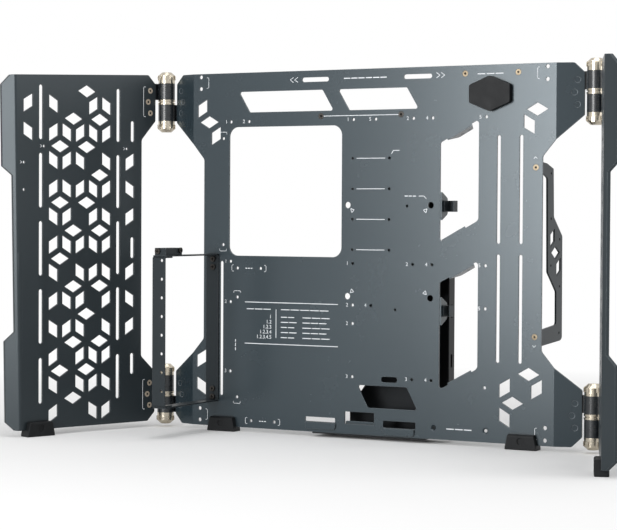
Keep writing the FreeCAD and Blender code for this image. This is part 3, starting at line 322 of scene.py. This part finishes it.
ON_PANEL = Matrix.Translation(BOARD - Vector((0.0, PRINT_LIFT, 0.0)))
lines = []
for step in (0.0, 5.6):
    lines += path([(254.2 + step, 48.3), (258.4 + step, 45.5), (254.2 + step, 42.7)], 0.6)
    lines += path([(85.6 - step, 48.0), (81.4 - step, 45.2), (85.6 - step, 42.4)], 0.6)
lines += dashes(143.0, 45.2, 52.0, 6) + dashes(302.0, 45.6, 29.5, 3)
lines += bracket(369.8, 44.75, 1, 12.0) + bracket(-29.6, 44.75, -1, 12.0)
lines += bracket(369.8, -332.55, 1, 12.0) + bracket(-29.6, -332.55, -1, 12.0)
lines += arrow(368.4, -42.6, 1) + arrow(368.4, -242.0, -1)
lines += path([(19.2, -203.0), (137.2, -203.0)], 0.8) + path([(19.2, -249.6), (137.4, -249.6)], 0.8)
lines += path([(59.3, -210.5), (59.3, -242.5)], 0.7)
lines += path([(118.0, 4.4), (209.4, 4.4)], 0.7)
for z in (-42.5, -75.8, -109.1, -142.4):
    lines += path([(159.2, z), (193.6, z)], 0.7)
lines += path([(201.5, -37.7), (203.7, -34.3), (210.9, -34.3)], 0.7)
lines += path([(234.4, -83.7), (240.5, -83.7), (243.3, -86.7)], 0.7)
lines += dashes(217.5, -83.7, 13.5, 3, 1.0, 1.0)
lines += lying_bracket(-9.9, -11.4, -1, 9.0) + lying_bracket(-9.9, -146.0, 1, 9.0)
lines += lying_bracket(9.0, -190.6, -1, 9.0) + lying_bracket(9.0, -318.2, 1, 9.0)
lines += bracket(20.3, -337.0, 1, 7.0) + bracket(64.7, -337.0, -1, 7.0)
lines += bracket(1.8, -165.0, 1, 7.0) + bracket(46.2, -165.0, -1, 7.0)
lines += flag(152.2, -97.4, 1, -1) + flag(152.2, -189.8, 1, 1)
lines += flag(244.2, -97.4, -1, -1) + flag(244.2, -189.8, -1, 1)
lines += dashes(38.0, -337.0, 9.0, 3, 0.9, 1.0) + dashes(19.6, -165.0, 9.0, 3, 0.9, 1.0)
for k in range(5):
    z = -219.0 - 5.7 * k
    lines += dashes(65.5, z, 17.0 + 3.0 * (k % 2), 2, 0.9, 1.2)
    lines += dashes(93.0, z, 30.0 + 4.0 * ((k + 1) % 2), 3, 0.9, 1.2)
lines += dashes(21.5, -210.6, 31.0, 3, 0.9, 1.2) + dashes(65.5, -210.6, 60.0, 5, 0.9, 1.2)
lines += dashes(268.5, -333.0, 29.5, 3, 1.0)
lines += path([(7.0, -245.6), (7.0, -248.4)], 1.0) + path([(7.0, -249.6), (7.0, -253.4)], 1.0)
lines += path([(7.0, -254.6), (7.0, -258.0)], 1.0)
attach(strip_mesh("printed_lines", lines, ON_PANEL, INK), "bench")


def number(text, x, z, size, align="CENTER"):
    """A plain printed number on the panel, its middle or right end at (x, z) in millimetres."""
    curve = bpy.data.curves.new("number_" + text, "FONT")
    curve.body = text
    curve.size = size / 1000.0
    curve.align_x = align
    curve.align_y = "CENTER"
    curve.materials.append(INK)
    piece = bpy.data.objects.new("printed_number_%s_%d" % (text, int(x)), curve)
    piece.matrix_world = ON_PANEL @ Matrix.Translation((x / 1000.0, 0.0, z / 1000.0)) @ Matrix.Rotation(
        math.radians(90), 4, "X")
    scene.collection.objects.link(piece)
    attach(piece, "bench")


for text, x, z in (("1", -6.0, 0.0), ("2", 16.6, 0.0), ("1", 148.4, 0.0), ("5", 175.4, 0.0), ("2", 220.6, 0.0),
                   ("4", 243.6, 0.0), ("5", 305.6, 0.0), ("1", 148.4, -157.5), ("2", 220.6, -157.5),
                   ("4", 243.6, -157.5), ("5", 305.6, -157.5), ("2", 148.4, -203.2), ("4", 170.9, -203.2),
                   ("5", 305.6, -203.2), ("2", 148.4, -223.5), ("1", -6.0, -157.5), ("2", -6.0, -203.2),
                   ("3", -6.0, -281.9), ("3", 148.4, -281.9), ("3", 220.6, -281.9), ("4", 243.6, -281.9)):
    number(text, x, z, 5.6)
for k, text in enumerate(("1", "1.2", "1.2.3", "1.2.3.4", "1.2.3.4.5")):
    number(text, 53.6, -219.0 - 5.7 * k, 5.8, "RIGHT")


# Printed marks on the wings, beside the hinge screws

def wing_matrix(body):
    """Frame of a wing in metres: +X out along the wing from its hinge axis."""
    joint = next(j for j in frame["joints"] if j["child"] == body)
    turn = math.radians(WING_TURN[body])
    return Matrix.Translation(Vector(joint["pos_m"][:2] + [BOARD.z])) @ Matrix.Rotation(turn, 4, "Z")


for side, body in ((-1, "left_wing"), (1, "right_wing")):
    marks = []
    for middle in (24.2, -312.0):
        marks += bracket(29.3, middle, -1, 34.0, 3.0, 0.6)
    for v, z in ((192.4, -48.5), (166.1, -30.3), (52.7, -30.4)):
        marks += path([(v + 5.2, z + 1.5), (v + 2.8, z), (v + 5.2, z - 1.5)], 0.5)
    place = wing_matrix(body) @ Matrix.Translation(Vector((0.0, side * (WING_FACE - PRINT_LIFT), 0.0)))
    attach(strip_mesh(body + "_marks", marks, place, INK), body)


# Stage, light and camera

def seen_directly(tree):
    """1 for camera, glossy and transmission rays, and 0 for rays that carry light."""
    path_node = add(tree, "ShaderNodeLightPath")
    total = path_node.outputs["Is Camera Ray"]
    for name in ("Is Glossy Ray", "Is Transmission Ray"):
        either = add(tree, "ShaderNodeMath", operation="MAXIMUM")
        tree.links.new(total, either.inputs[0])
        tree.links.new(path_node.outputs[name], either.inputs[1])
        total = either.outputs[0]
    return total


def stage_floor():
    """Pale floor that keeps the shadow near the part and is plain white further out."""
    mesh = bpy.data.meshes.new("stage_floor")
    work = bmesh.new()
    verts = [work.verts.new((x, y, FLOOR - 0.0002)) for x, y in ((-6, -6), (6, -6), (6, 6), (-6, 6))]
    work.faces.new(verts)
    work.to_mesh(mesh)
    work.free()
    floor = bpy.data.objects.new("stage_floor", mesh)
    scene.collection.objects.link(floor)
    mat, tree, shader = new_material("stage_floor")
    shader.inputs["Base Color"].default_value = (0.95, 0.95, 0.95, 1.0)
    shader.inputs["Roughness"].default_value = 0.9
    shader.inputs["Specular IOR Level"].default_value = 0.0
    white = add(tree, "ShaderNodeEmission")
    white.inputs["Strength"].default_value = 1.0
    distance = add(tree, "ShaderNodeVectorMath", operation="LENGTH")
    tree.links.new(coordinates(tree), distance.inputs[0])
    far = spread(tree, distance.outputs["Value"], 0.0, 1.0, 0.35, 1.1)
    share = add(tree, "ShaderNodeMath", operation="MULTIPLY")
    tree.links.new(far, share.inputs[0])
    tree.links.new(seen_directly(tree), share.inputs[1])
    blend = add(tree, "ShaderNodeMixShader")
    tree.links.new(share.outputs[0], blend.inputs[0])
    tree.links.new(shader.outputs[0], blend.inputs[1])
    tree.links.new(white.outputs[0], blend.inputs[2])
    tree.links.new(blend.outputs[0], tree.nodes["Material Output"].inputs["Surface"])
    mesh.materials.append(mat)


def studio_world():
    world = bpy.data.worlds.new("studio")
    world.use_nodes = True
    tree = world.node_tree
    background = tree.nodes["Background"]
    background.inputs["Color"].default_value = (1.0, 1.0, 1.0, 1.0)
    tree.links.new(spread(tree, seen_directly(tree), WORLD_LIGHT, 1.0), background.inputs["Strength"])
    scene.world = world


def area_light(name, at, size, power):
    """Rectangular lamp that points at the origin."""
    data = bpy.data.lights.new(name, "AREA")
    data.shape = "RECTANGLE"
    data.size, data.size_y = size
    data.energy = power
    lamp = bpy.data.objects.new(name, data)
    lamp.location = at
    lamp.rotation_euler = (-Vector(at)).to_track_quat("-Z", "Y").to_euler()
    scene.collection.objects.link(lamp)


stage_floor()
studio_world()
area_light("key", (-0.35, -2.00, 0.26), (0.7, 1.15), 30.0)
area_light("side", (1.7, 0.2, 0.4), (1.0, 1.2), 8.0)
area_light("top", (0.2, -0.3, 2.2), (2.0, 2.0), 26.0)

camera_data = bpy.data.cameras.new("camera")
camera_data.lens = 117.04
camera_data.sensor_width = 36.0
camera = bpy.data.objects.new("camera", camera_data)
right = Vector((0.88172879, 0.4717262, 0.00535939))
up = Vector((-0.01634603, 0.01919562, 0.99968212))
ahead = Vector((-0.47147337, 0.88153611, -0.02463618))
turn = Matrix((right, up, -ahead)).transposed().to_4x4()
camera.matrix_world = Matrix.Translation((0.950252, -1.96055, 0.038218)) @ turn
scene.collection.objects.link(camera)
scene.camera = camera
scene.view_settings.view_transform = "Standard"
